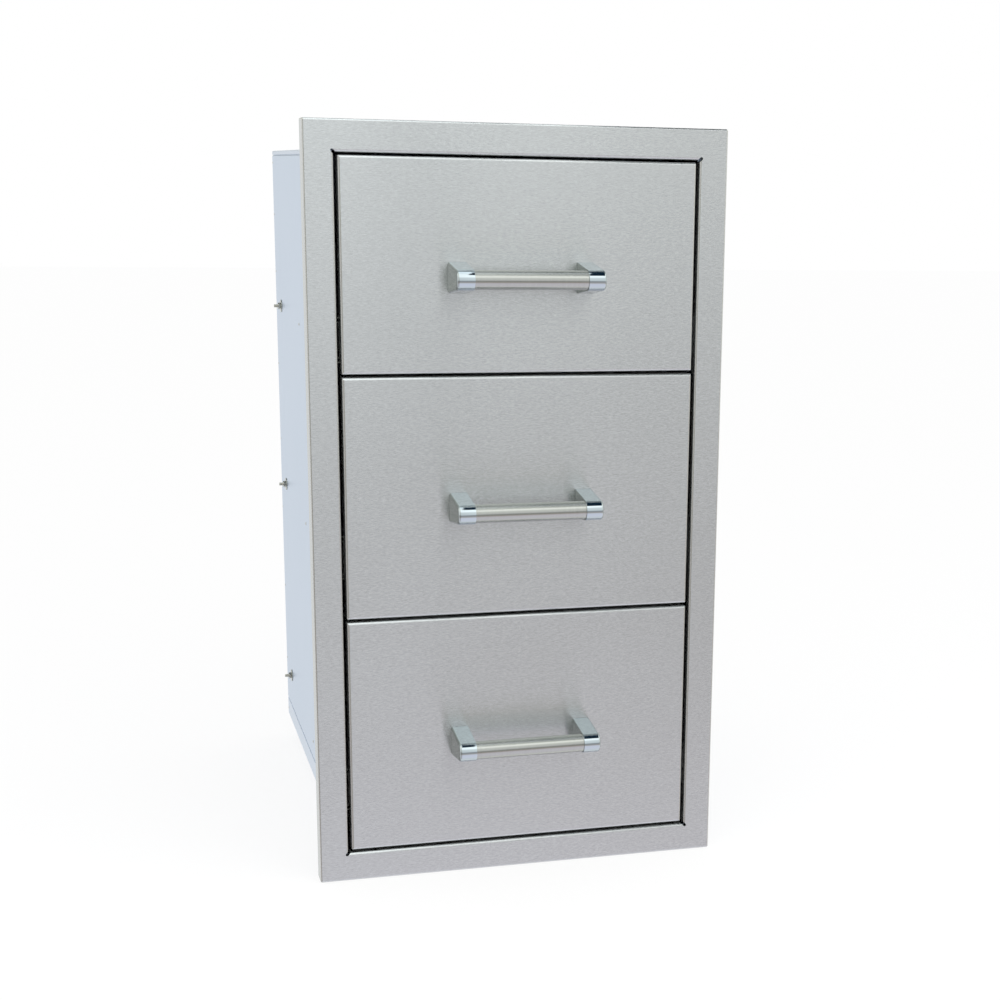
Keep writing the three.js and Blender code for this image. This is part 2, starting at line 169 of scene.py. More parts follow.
def plain_metal(name, colour, roughness, mottle, contrast):
    """Metal with no grain, and a faint mottle of the given size in its tone and gloss."""
    material, tree = new_material(name)
    place = add(tree, "ShaderNodeTexCoord").outputs["Object"]
    spots = add(tree, "ShaderNodeTexNoise", {"Vector": place, "Scale": 1 / mottle, "Detail": 3.0})
    low, high = roughness * (1 - MOTTLE_SHARE), roughness * (1 + MOTTLE_SHARE)
    rough = add(tree, "ShaderNodeMapRange", {"Value": spots, "To Min": low, "To Max": high})
    dark, pale = either_way(colour, contrast)
    tone = add(tree, "ShaderNodeMix", {0: spots, 6: dark, 7: pale}, data_type="RGBA")
    looks = {"Base Color": tone.outputs[2], "Metallic": 1.0, "Roughness": rough}
    shader = add(tree, "ShaderNodeBsdfPrincipled", looks)
    add(tree, "ShaderNodeOutputMaterial", {"Surface": shader})
    return material


FINISHES = {}


def finish(name):
    """The material of a finish, made when it is first asked for."""
    if name in FINISHES:
        return FINISHES[name]
    looks = bpy.context.scene.unit_looks
    pitch = looks.grain_pitch
    if name == "front":
        # Stainless sheet brushed from side to side, as the face frame and the drawer fronts are
        made = brushed_steel(
            "brushed_stainless_front", looks.front_colour, "X", roughness=looks.front_roughness,
            anisotropy=1.0, pitch=pitch, length=4 * MM, contrast=0.24,
        )
    elif name == "box":
        # Stainless sheet of the box, brushed upright. Its colour is painted paler and bluer than the fronts'
        # same steel: painted light, for a box that turns its edge to the light
        made = brushed_steel(
            "brushed_stainless_box_painted_paler", looks.box_painted_paler_colour, "Z", roughness=0.34,
            anisotropy=0.5, pitch=pitch, length=50 * MM, contrast=0.03,
        )
    elif name == "tray":
        # Mill-finished stainless sheet, rolled along the drawer
        made = brushed_steel(
            "rolled_stainless_tray", looks.tray_colour, "Y", roughness=0.3,
            anisotropy=0.4, pitch=pitch, length=60 * MM, contrast=0.025,
        )
    elif name == "tube":
        # Satin nickel tube, turned against an abrasive belt, so its scratches run round it
        made = brushed_steel(
            "satin_turned_tube", looks.tube_colour, "turned", roughness=0.22,
            anisotropy=0.8, pitch=0.9 * MM, length=30 * MM, contrast=0.09,
        )
    elif name == "post":
        # Polished and plated zinc casting: a mirror with the faintest orange peel
        made = plain_metal(
            "polished_plated_casting", looks.post_colour, roughness=0.03, mottle=30 * MM, contrast=0.01
        )
    elif name == "zinc":
        # Bright zinc plating on steel: a greyish, slightly mottled sheen
        made = plain_metal(
            "bright_zinc_plating", looks.zinc_colour, roughness=0.33, mottle=4 * MM, contrast=0.06
        )
    FINISHES[name] = made
    return made


# Meshes

# One unit of the smear map is this far on the metal
SMEAR_UNIT = 100 * MM
# Points of a solid this close to each other are one, and a corner this close to a place is at it
ONE_POINT, AT_PLACE = 0.002 * MM, 0.05 * MM


def new_object(name, data):
    """An object of the scene, at the origin, with its mesh, lamp or camera."""
    made = bpy.data.objects.new(name, data)
    bpy.context.scene.collection.objects.link(made)
    return made


def mesh_object(name, bm, material):
    """An object from a bmesh, which is freed."""
    mesh = bpy.data.meshes.new(name)
    bm.to_mesh(mesh)
    bm.free()
    mesh.materials.append(material)
    return new_object(name, mesh)


def drawn_object(name, points, edges=(), faces=()):
    """An object from points and what joins them."""
    mesh = bpy.data.meshes.new(name)
    mesh.from_pydata(points, edges, faces)
    return new_object(name, mesh)


def smear_map(mesh, grain):
    """A UV map whose U runs across the grain on every face, so that reflections smear the right way."""
    lay = None if grain == "turned" else Vector([float(axis == grain) for axis in "XYZ"])
    layer = mesh.uv_layers.new(name="smear")
    for face in mesh.polygons:
        if lay is None:
            u = Vector((1, 0, 0)) if abs(face.normal.x) < 0.9 else Vector((0, 1, 0))
        else:
            u = face.normal.cross(lay)
            if u.length < 0.3:
                u = face.normal.cross(Vector((0, 0, 1)) if abs(lay.z) < 0.5 else Vector((0, 1, 0)))
            u.normalize()
        v = face.normal.cross(u)
        for corner in face.loop_indices:
            at = mesh.vertices[mesh.loops[corner].vertex_index].co
            layer.data[corner].uv = (at.dot(u) / SMEAR_UNIT, at.dot(v) / SMEAR_UNIT)


def shade(made, grain=None, sharp=40):
    """Smooth faces, edges sharp past an angle in degrees, and a smear map where the metal is brushed."""
    mesh = made.data
    bm = bmesh.new()
    bm.from_mesh(mesh)
    for face in bm.faces:
        face.smooth = True
    for edge in bm.edges:
        edge.smooth = len(edge.link_faces) == 2 and edge.calc_face_angle(0.0) < math.radians(sharp)
    bm.to_mesh(mesh)
    bm.free()
    if grain:
        smear_map(mesh, grain)
    keep = made.modifiers.new("Flat faces stay flat", "WEIGHTED_NORMAL")
    keep.keep_sharp = True
    keep.weight = 100


def stand_in(made, *nodes):
    """The piece rides on the body of the nodes that it stands for, and the nodes are hidden."""
    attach(made, NODES[nodes[0]]["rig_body"])
    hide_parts(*nodes)


def walls(bm, loops, closed=True):
    """Faces between each loop of vertices and the next."""
    for one, two in zip(loops, loops[1:]):
        for i in range(len(one) if closed else len(one) - 1):
            j = (i + 1) % len(one)
            bm.faces.new((one[i], one[j], two[j], two[i]))


def circle(radius, count):
    """Points round a circle, as pairs."""
    angles = [2 * math.pi * k / count for k in range(count)]
    return [(radius * math.cos(a), radius * math.sin(a)) for a in angles]


def arc(radius, start, sweep, steps):
    """Points along an arc given in degrees, as pairs."""
    angles = [math.radians(start + sweep * k / steps) for k in range(steps + 1)]
    return [(radius * math.cos(a), radius * math.sin(a)) for a in angles]


def quarter_turn(steps):
    """Angles from 0 to 90 degrees, in radians."""
    return [math.radians(90 * k / steps) for k in range(steps + 1)]


def ease_edges(bm, width):
    """Eases the cut edges of sheet, which turn by more than 50 degrees, with a small round."""
    crisp = [
        edge for edge in bm.edges
        if len(edge.link_faces) == 2 and edge.calc_face_angle(0.0) > math.radians(50)
    ]
    bmesh.ops.bevel(
        bm, geom=crisp, offset=width, offset_type="OFFSET", segments=2, profile=0.5, affect="EDGES",
        clamp_overlap=True,
    )


def rounded_copy(node, name, look, grain, width, moves=()):
    """A merged copy of a frame node, with its sheet edges eased.

    Each of the moves is an axis, a place on it and a step: the corners at that place are moved by the step.
    """
    bm = bmesh.new()
    bm.from_mesh(NODES[node].data)
    bmesh.ops.remove_doubles(bm, verts=bm.verts, dist=ONE_POINT)
    for axis, place, step in moves:
        for vert in bm.verts:
            if abs(vert.co[axis] - place) < AT_PLACE:
                vert.co[axis] += step
    flat = math.radians(0.5)
    bmesh.ops.dissolve_limit(
        bm, angle_limit=flat, use_dissolve_boundaries=False, verts=bm.verts, edges=bm.edges
    )
    ease_edges(bm, width)
    made = mesh_object(name, bm, finish(look))
    shade(made, grain)
    stand_in(made, node)


def closed_piece(node, name, bm, look, grain, sharp):
    """The piece of a node from closed walls whose faces are turned outwards."""
    bmesh.ops.recalc_face_normals(bm, faces=bm.faces)
    made = mesh_object(name, bm, finish(look))
    shade(made, grain, sharp)
    stand_in(made, node)


# Geometry Nodes

SOCKET_KINDS = {float: "Float", int: "Int", tuple: "Vector", type(None): "Material"}


def new_tree(name, inputs):
    """A Geometry Nodes tree with the named inputs and their defaults, and the sockets that give them."""
    tree = bpy.data.node_groups.new(name, "GeometryNodeTree")
    tree.is_modifier = True
    tree.interface.new_socket("Geometry", in_out="INPUT", socket_type="NodeSocketGeometry")
    for label, default in inputs.items():
        kind = f"NodeSocket{SOCKET_KINDS[type(default)]}"
        socket = tree.interface.new_socket(label, in_out="INPUT", socket_type=kind)
        if default is not None:
            socket.default_value = default
    tree.interface.new_socket("Geometry", in_out="OUTPUT", socket_type="NodeSocketGeometry")
    return tree, add(tree, "NodeGroupInput").outputs


def end_tree(tree, geometry, material):
    """Realize Instances, Set Material and the output."""
    real = add(tree, "GeometryNodeRealizeInstances", {"Geometry": geometry})
    dressed = add(tree, "GeometryNodeSetMaterial", {"Geometry": real, "Material": material})
    add(tree, "NodeGroupOutput", {"Geometry": dressed})
    return tree


def grow(made, name, build, values):
    """Runs a tree, built when it is first named, on an object, and keeps the result as its plain mesh."""
    tree = bpy.data.node_groups.get(name) or build(name)
    modifier = made.modifiers.new("Grow", "NODES")
    modifier.node_group = tree
    for item in tree.interface.items_tree:
        if item.item_type == "SOCKET" and item.in_out == "INPUT" and item.name in values:
            modifier[item.identifier] = values[item.name]
    graph = bpy.context.evaluated_depsgraph_get()
    mesh = bpy.data.meshes.new_from_object(made.evaluated_get(graph))
    mesh.name = made.name
    made.modifiers.remove(modifier)
    made.data = mesh
    if not mesh.polygons:
        raise RuntimeError(f"the tree {tree.name} gave no faces for {made.name}")


def folded_sheet_tree(name):
    """A sheet folded along a polyline: the line's corners are bent, pushed along Y, and given a thickness."""
    sizes = {"Bend Radius": 1.2 * MM, "Bend Steps": 6, "Thickness": 1.2 * MM, "Length": 0.5, "Material": None}
    tree, given = new_tree(name, sizes)
    line = add(tree, "GeometryNodeMeshToCurve", {"Mesh": given["Geometry"]})
    bends = add(
        tree,
        "GeometryNodeFilletCurve",
        {"Curve": line, "Count": given["Bend Steps"], "Radius": given["Bend Radius"], "Limit Radius": True},
        mode="POLY",
    )
    edges = add(tree, "GeometryNodeCurveToMesh", {"Curve": bends})
    run = add(tree, "ShaderNodeCombineXYZ", {"Y": given["Length"]})
    pushed = {"Mesh": edges, "Offset": run, "Offset Scale": 1.0}
    ribbon = add(tree, "GeometryNodeExtrudeMesh", pushed, mode="EDGES")
    normal = add(tree, "GeometryNodeInputNormal")
    half = add(tree, "ShaderNodeMath", {0: given["Thickness"], 1: -0.5}, operation="MULTIPLY")
    inward = add(tree, "ShaderNodeVectorMath", {0: normal, "Scale": half}, operation="SCALE")
    low = add(tree, "GeometryNodeSetPosition", {"Geometry": ribbon, "Offset": inward})
    thick = {"Mesh": low, "Offset Scale": given["Thickness"], "Individual": False}
    wall = add(tree, "GeometryNodeExtrudeMesh", thick, mode="FACES")
    under = add(tree, "GeometryNodeFlipFaces", {"Mesh": low})
    both = add(tree, "GeometryNodeJoinGeometry", {"Geometry": wall})
    tree.links.new(under.outputs[0], both.inputs[0])
    closed = add(tree, "GeometryNodeMergeByDistance", {"Geometry": both, "Distance": 0.001 * MM})
    return end_tree(tree, closed, given["Material"])


def folded_sheet(node, name, line, sheet, look, grain):
    """A sheet as long as its node, folded along the middle line of its section, given in X and Z."""
    low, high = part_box(node)
    made = drawn_object(name, [(x, low.y, z) for x, z in line], [(i, i + 1) for i in range(len(line) - 1)])
    values = {"Bend Radius": sheet, "Thickness": sheet, "Length": high.y - low.y, "Material": finish(look)}
    grow(made, "Folded sheet", folded_sheet_tree, values)
    shade(made, grain)
    stand_in(made, node)


def rivet_tree(name):
    """A low domed rivet head on every point, half sunk in the sheet, facing along X."""
    tree, given = new_tree(name, {"Head Diameter": 4 * MM, "Head Height": 0.8 * MM, "Material": None})
    ball = add(tree, "GeometryNodeMeshUVSphere", {"Segments": 24, "Rings": 12, "Radius": 0.5})
    depth = add(tree, "ShaderNodeMath", {0: given["Head Height"], 1: 2.0}, operation="MULTIPLY")
    width = given["Head Diameter"]
    size = add(tree, "ShaderNodeCombineXYZ", {"X": depth, "Y": width, "Z": width})
    copies = {"Points": given["Geometry"], "Instance": ball, "Scale": size}
    heads = add(tree, "GeometryNodeInstanceOnPoints", copies)
    return end_tree(tree, heads, given["Material"])


def bolt_tree(name):
    """A bolt end with thread, nut and washer on every point, standing along Z before it is turned."""
    sizes = {
        "Diameter": 4 * MM,
        "Thread Pitch": 0.9 * MM,
        "Thread Depth": 0.35 * MM,
        "Shank From": -4 * MM,
        "Shank To": 8.7 * MM,
        "Head Diameter": 8 * MM,
        "Head Height": BOLT_HEAD,
        "Nut Width": 7 * MM,
        "Nut Height": 3.2 * MM,
        "Washer Diameter": 15 * MM,
        "Washer Thickness": 0.8 * MM,
        "Turn": (0.0, 0.0, 0.0),
        "Material": None,
    }
    tree, given = new_tree(name, sizes)
    at = add(tree, "GeometryNodeInputPosition")
    place = add(tree, "ShaderNodeSeparateXYZ", {0: at})
    value = dict(given.items()) | dict(place.outputs.items())
    # Each row is a sum: its name, the operation, and two numbers or names of inputs and earlier sums
    for label, operation, one, two in (
        ("radius", "MULTIPLY", "Diameter", 0.5),
        ("length", "SUBTRACT", "Shank To", "Shank From"),
        ("ends", "ADD", "Shank To", "Shank From"),
        ("shank middle", "MULTIPLY", "ends", 0.5),
        ("angle", "ARCTAN2", "Y", "X"),
        ("turn", "DIVIDE", "angle", math.tau),
        ("pitches", "DIVIDE", "Z", "Thread Pitch"),
        ("along thread", "ADD", "pitches", "turn"),
        ("phase", "FRACT", "along thread", 0.0),
        ("from crest", "SUBTRACT", "phase", 0.5),
        ("ridge", "ABSOLUTE", "from crest", 0.0),
        ("groove", "MULTIPLY", "ridge", 2.0),
        ("cut depth", "MULTIPLY", "groove", "Thread Depth"),
        ("cut share", "DIVIDE", "cut depth", "radius"),
        ("keep", "SUBTRACT", 1.0, "cut share"),
        ("corner", "DIVIDE", "Nut Width", 2 * math.cos(math.pi / 6)),
        ("ball radius", "MULTIPLY", "corner", 1.03),
        ("ball height", "MULTIPLY", "Nut Height", 0.96),
        ("half nut", "MULTIPLY", "Nut Height", 0.5),
        ("nut middle", "ADD", "Washer Thickness", "half nut"),
        ("washer radius", "MULTIPLY", "Washer Diameter", 0.5),
        ("washer middle", "MULTIPLY", "Washer Thickness", 0.5),
        ("head radius", "MULTIPLY", "Head Diameter", 0.5),
    ):
        numbers = {0: value.get(one, one), 1: value.get(two, two)}
        value[label] = add(tree, "ShaderNodeMath", numbers, operation=operation)
    rod, hexagon, washer, head = [
        add(
            tree, "GeometryNodeMeshCylinder",
            {"Vertices": faces, "Side Segments": rings, "Radius": value[radius], "Depth": value[depth]},
        )
        for faces, rings, radius, depth in (
            (20, 84, "radius", "length"),
            (6, 1, "corner", "Nut Height"),
            (40, 1, "washer radius", "Washer Thickness"),
            (32, 1, "head radius", "Head Height"),
        )
    ]
    scale = add(tree, "ShaderNodeCombineXYZ", {"X": value["keep"], "Y": value["keep"], "Z": 1.0})
    cut_at = add(tree, "ShaderNodeVectorMath", {0: at, 1: scale}, operation="MULTIPLY")
    shank = add(tree, "GeometryNodeSetPosition", {"Geometry": rod, "Position": cut_at})
    # The nut is a hexagon whose corners a flattened ball rounds off
    ball = add(tree, "GeometryNodeMeshUVSphere", {"Segments": 32, "Rings": 20, "Radius": 1.0})
    ball_size = {"X": value["ball radius"], "Y": value["ball radius"], "Z": value["ball height"]}
    ball_size = add(tree, "ShaderNodeCombineXYZ", ball_size)
    chamfer = add(tree, "GeometryNodeTransform", {"Geometry": ball, "Scale": ball_size})
    nut = add(tree, "GeometryNodeMeshBoolean", {"Mesh 2": hexagon}, operation="INTERSECT", solver="EXACT")
    tree.links.new(chamfer.outputs[0], nut.inputs["Mesh 2"])
    whole = add(tree, "GeometryNodeJoinGeometry")
    for part, height in (
        (shank, "shank middle"), (nut, "nut middle"), (washer, "washer middle"), (head, "Shank From")
    ):
        lift = add(tree, "ShaderNodeCombineXYZ", {"Z": value[height]})
        raised = add(tree, "GeometryNodeTransform", {"Geometry": part, "Translation": lift})
        tree.links.new(raised.outputs[0], whole.inputs[0])
    copies = {"Points": given["Geometry"], "Instance": whole, "Rotation": given["Turn"]}
    ends = add(tree, "GeometryNodeInstanceOnPoints", copies)
    return end_tree(tree, ends, given["Material"])


# Sizes and looks that a user would change


def length_setting(name, description, default):
    """A length as a property."""
    return FloatProperty(name=name, description=description, default=default, unit="LENGTH", precision=5)


def colour_setting(name, description, hex_colour):
    """A colour as a property, from its sRGB hex value."""
    return FloatVectorProperty(
        name=name, description=description, default=linear(hex_colour), size=4, min=0.0, max=1.0,
        subtype="COLOR",
    )


class UnitSizes(bpy.types.PropertyGroup):
    """Sizes that the frame's solids don't give."""

    sheet: length_setting("Sheet", "Thickness of the box, frame and front sheet", 1.2 * MM)
    tray_sheet: length_setting("Tray sheet", "Thickness of the tray sheet", 1.0 * MM)
    edge_round: length_setting("Edge round", "Round on cut sheet edges", 0.25 * MM)
    front_roll: length_setting("Front roll", "Radius of the rolled edges of the drawer fronts", 2.8 * MM)
    frame_bend: length_setting("Frame bend", "Radius of the frame's outer bends and corners", 2.0 * MM)
    frame_roll: length_setting("Frame roll", "Radius of the rolled edge round the frame's opening", 3.0 * MM)
    opening_inset: length_setting("Opening inset", "How far the rolled edge stands into it", 0.9 * MM)
    slot_reach: length_setting("Slot reach", "How far the slots reach from the opening's corners", 3.9 * MM)
    slot_width: length_setting("Slot width", "Width of the slots at the corners of the opening", 3.2 * MM)
    front_hang: length_setting("Front hang", "How far a front's rolled lower edge hangs down", 0.8 * MM)
    front_corner: length_setting("Front corner", "Radius of the corners of the drawer fronts", 1.2 * MM)
    post_nose: length_setting("Post nose", "Radius of the round nose of a handle post", 10.5 * MM)
    post_round: length_setting("Post round", "Round on the outer side of a handle post", 2.5 * MM)
    tube_wall: length_setting("Tube wall", "Wall of the handle tube", 1.5 * MM)
    rivet_head: length_setting("Rivet head", "Diameter of the rivet heads on the box", 3.6 * MM)
    thread_pitch: length_setting("Thread pitch", "Pitch of the thread on the slide bolts", 0.9 * MM)
    curve_steps: IntProperty(
        name="Curve steps", description="Faces round the nose of a handle post", default=56, min=12
    )


class UnitLooks(bpy.types.PropertyGroup):
    """Finishes and studio light."""

    front_colour: colour_setting("Front colour", "Brushed steel of the fronts and the frame", "cccfce")
    # The box's colour is painted paler and bluer than the fronts', as painted light on its sides
    box_painted_paler_colour: colour_setting("Box colour", "Brushed steel of the box", "c3cfdd")
    tray_colour: colour_setting("Tray colour", "Rolled steel of the trays", "c6c8c9")
    tube_colour: colour_setting("Tube colour", "Satin metal of the handle tubes", "b4b6b1")
    post_colour: colour_setting("Post colour", "Polished plating of the handle posts", "bcc6ca")
    zinc_colour: colour_setting("Zinc colour", "Zinc plating of slides, bolts, screws and rivets", "c2c4be")
    front_roughness: FloatProperty(
        name="Front roughness", description="Roughness of the brushed fronts and frame", default=0.2,
        min=0.0, max=1.0, subtype="FACTOR",
    )
    grain_pitch: length_setting("Grain pitch", "Distance between drawn scratches", 0.6 * MM)
    key_power: FloatProperty(
        name="Key power", description="Power of the large soft lamp above the front", default=14.0, min=0.0,
        unit="POWER",
    )


# Face frame and drawer fronts

# Faces round a rolled edge or a corner
ROLL_STEPS = 8
# Round on the cut rim of the frame's and the fronts' sheet
RIM_EASE = 0.2 * MM
# Radius of the corners of the frame's opening, and the least radius of any corner
OPENING_CORNER, LEAST_CORNER = 0.4 * MM, 0.05 * MM
# Room between the ring behind the frame's sheet and what it lies against, and how deep behind the lip it lies
RING_GAP, RING_DEPTH = 0.1 * MM, 3 * MM


def rounded_loop(bm, rectangle, y, inset, corner):
    """Vertices at a depth, round a rectangle in X and Z with round corners, inset by a distance."""
    x0, x1, z0, z1 = rectangle
    radius = max(corner - inset, LEAST_CORNER)
    left, right = x0 + inset + radius, x1 - inset - radius
    lower, upper = z0 + inset + radius, z1 - inset - radius
    loop = []
    for cx, cz, start in ((right, upper, 0), (left, upper, 90), (left, lower, 180), (right, lower, 270)):
        for x, z in arc(radius, start, 90, ROLL_STEPS):
            loop.append(bm.verts.new((cx + x, y, cz + z)))
    return loop


def frame_opening(sizes):
    """The opening of the face frame as x0, x1, z0, z1, and how far back its return reaches."""
    mesh = NODES["face_frame"].data
    half = min(abs(face.center.x) for face in mesh.polygons if abs(face.normal.x) > 0.99)
    sills = [face.center.z for face in mesh.polygons if abs(face.normal.z) > 0.99]
    low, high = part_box("face_frame")
    middle = (low.z + high.z) / 2
    bottom = max(z for z in sills if z < middle)
    top = min(z for z in sills if z > middle)
    rear = max(vert.co.y for vert in mesh.vertices if abs(abs(vert.co.x) - half) < 0.01 * MM)
    inset = sizes.opening_inset
    return (inset - half, half - inset, bottom + inset, top - inset), rear


def cut_slots(made, opening, sizes, y0, y1):
    """Cuts a slot with round ends across each corner of the frame's opening."""
    x0, x1, z0, z1 = opening
    radius = sizes.slot_width / 2
    reach = sizes.slot_reach - radius
    section = [(reach + along, across) for along, across in arc(radius, -90, 180, 12)]
    section += [(along - reach, across) for along, across in arc(radius, 90, 180, 12)]
    bm = bmesh.new()
    for x, z, tilt in ((x1, z1, 45), (x0, z1, 135), (x0, z0, 225), (x1, z0, 315)):
        turn = math.radians(tilt)
        ends = []
        for y in (y0, y1):
            ring = []
            for along, across in section:
                place_x = x + along * math.cos(turn) - across * math.sin(turn)
                place_z = z + along * math.sin(turn) + across * math.cos(turn)
                ring.append(bm.verts.new((place_x, y, place_z)))
            ends.append(ring)
        walls(bm, ends)
        for ring in ends:
            bm.faces.new(ring)
    bmesh.ops.recalc_face_normals(bm, faces=bm.faces)
    cutter = mesh_object("slot_cutter", bm, finish("front"))
    modifier = made.modifiers.new("Slots", "BOOLEAN")
    modifier.operation, modifier.solver, modifier.object = "DIFFERENCE", "EXACT", cutter
    graph = bpy.context.evaluated_depsgraph_get()
    mesh = bpy.data.meshes.new_from_object(made.evaluated_get(graph))
    if len(mesh.polygons) in (0, len(made.data.polygons)):
        raise RuntimeError("the slots of the face frame were not cut")
    made.modifiers.remove(modifier)
    bpy.data.objects.remove(cutter)
    made.data = mesh


def frame_sheet(sizes):
    """The face frame: a flat sheet with a lip folded back outside, a rolled inner edge and corner slots."""
    low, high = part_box("face_frame")
    opening, rear = frame_opening(sizes)
    outside = (low.x, high.x, low.z, high.z)
    sheet, bend, roll = sizes.sheet, sizes.frame_bend, sizes.frame_roll
    quarter = quarter_turn(ROLL_STEPS)
    # Rectangle, distance inwards from it and depth, from the lip's rear edge round the sheet and back inside
    rings = [(outside, RIM_EASE, high.y), (outside, 0.0, high.y - RIM_EASE)]
    rings += [(outside, bend * (1 - math.cos(a)), low.y + bend * (1 - math.sin(a))) for a in quarter]
    rings += [(opening, -roll * (1 - math.sin(a)), low.y + roll * (1 - math.cos(a))) for a in quarter]
    rings += [(opening, 0.0, rear - RIM_EASE), (opening, -RIM_EASE, rear)]
    rings += [(opening, RIM_EASE - sheet, rear), (opening, -sheet, rear - RIM_EASE)]
    rings += [
        (opening, (roll - sheet) * math.sin(a) - roll, low.y + roll - (roll - sheet) * math.cos(a))
        for a in reversed(quarter)
    ]
    rings += [
        (outside, bend - (bend - sheet) * math.cos(a), low.y + bend - (bend - sheet) * math.sin(a))
        for a in reversed(quarter)
    ]
    rings += [(outside, sheet, high.y - RIM_EASE), (outside, sheet - RIM_EASE, high.y)]
    bm = bmesh.new()
    loops = []
    for rectangle, inset, y in rings:
        corner = bend if rectangle is outside else OPENING_CORNER
        loops.append(rounded_loop(bm, rectangle, y, inset, corner))
    walls(bm, loops + loops[:1])
    bmesh.ops.recalc_face_normals(bm, faces=bm.faces)
    made = mesh_object("frame_folded_sheet", bm, finish("front"))
    cut_slots(made, opening, sizes, low.y - sheet, rear + sheet)
    shade(made, "X", sharp=50)
    stand_in(made, "face_frame")


def frame_stiffener(sizes):
    """A flat ring between the frame's lip and the box, which closes the hollow behind the frame's sheet."""
    lip_low, lip_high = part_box("face_frame")
    side_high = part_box("box_side_panel_right")[1]
    top_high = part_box("box_top_panel")[1]
    reach = lip_high.x - sizes.sheet - RING_GAP
    outer = (-reach, reach, lip_low.z + sizes.sheet + RING_GAP, lip_high.z - sizes.sheet - RING_GAP)
    inner = (-side_high.x - RING_GAP, side_high.x + RING_GAP, -RING_GAP, top_high.z + RING_GAP)
    rear = lip_high.y - RING_DEPTH
    front = rear - sizes.sheet
    bm = bmesh.new()
    loops = []
    for (x0, x1, z0, z1), y in ((outer, front), (outer, rear), (inner, rear), (inner, front)):
        loops.append([bm.verts.new((x, y, z)) for x, z in ((x0, z0), (x1, z0), (x1, z1), (x0, z1))])
    walls(bm, loops + loops[:1])
    bmesh.ops.recalc_face_normals(bm, faces=bm.faces)
    ease_edges(bm, sizes.edge_round)
    made = mesh_object("frame_stiffener", bm, finish("box"))
    shade(made, "X")
    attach(made, "cabinet")


class BuildFaceFrame(bpy.types.Operator):
    """Face frame: one folded sheet with a slot at each inner corner, and the ring behind it"""

    bl_idname = "drawer_unit.face_frame"
    bl_label = "Face frame"

    def execute(self, context):
        sizes = context.scene.unit_sizes
        frame_sheet(sizes)
        frame_stiffener(sizes)
        return {"FINISHED"}


def front_skin(level, sizes):
    """The folded face of a drawer: flat front, rolled edges, walls that run back, and an open rear."""
    node = f"{level}_drawer_front_skin"
    low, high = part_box(node)
    sheet, roll = sizes.sheet, sizes.front_roll
    # Depth and inset, from the rim of the flat front round the roll, back along the wall and forward inside
    rings = [
        (low.y + roll * (1 - math.cos(a)), roll * (1 - math.sin(a))) for a in quarter_turn(ROLL_STEPS)
    ]
    rings += [(high.y - RIM_EASE, 0.0), (high.y, RIM_EASE)]
    rings += [(high.y, sheet - RIM_EASE), (high.y - RIM_EASE, sheet)]
    rings += [(low.y + roll, sheet), (low.y + sheet, roll)]
    rectangle = (low.x, high.x, low.z - sizes.front_hang, high.z)
    bm = bmesh.new()
    loops = [rounded_loop(bm, rectangle, y, inset, sizes.front_corner) for y, inset in rings]
    walls(bm, loops)
    bm.faces.new(loops[0])
    bm.faces.new(loops[-1][::-1])
    closed_piece(node, f"{level}_drawer_front", bm, "front", "X", sharp=50)


class BuildDrawerFronts(bpy.types.Operator):
    """Drawer fronts: rolled faces and the liners that close their backs"""

    bl_idname = "drawer_unit.drawer_fronts"
    bl_label = "Drawer fronts"

    def execute(self, context):
        sizes = context.scene.unit_sizes
        for level in LEVELS:
            front_skin(level, sizes)
            liner = f"{level}_drawer_front_liner"
            rounded_copy(liner, f"{level}_drawer_liner", "tray", "X", sizes.edge_round)
        return {"FINISHED"}


# Handles

# Small round at the mouth of a post and at the ends of a tube, and room between the tube and its socket
HANDLE_EASE, SOCKET_ROOM = 0.3 * MM, 0.3 * MM
SOCKET_DEPTH = 14 * MM
# Faces round the tube and round its socket, and spans along the tube
TUBE_FACES, SOCKET_FACES, TUBE_SPANS = 96, 64, 24


def post_outline(seat_y, nose_y, middle_z, half, radius, inset, steps):
    """The side of a post in Y and Z, inset by a distance: base, flank, round nose, flank, base."""
    slope = math.atan2(half, seat_y - nose_y)
    upper = slope + math.acos(radius / math.hypot(half, seat_y - nose_y))
    points = []
    for k in range(steps + 1):
        angle = upper + (2 * math.pi - 2 * upper) * k / steps
        points.append(
            (nose_y + (radius - inset) * math.cos(angle), middle_z + (radius - inset) * math.sin(angle))
        )
    # The flanks run on from the nose, square to its radius, to the seat
    first, last = [
        (seat_y, z - (seat_y - y) / math.tan(angle))
        for (y, z), angle in ((points[0], upper), (points[-1], 2 * math.pi - upper))
    ]
    return [first] + points + [last]


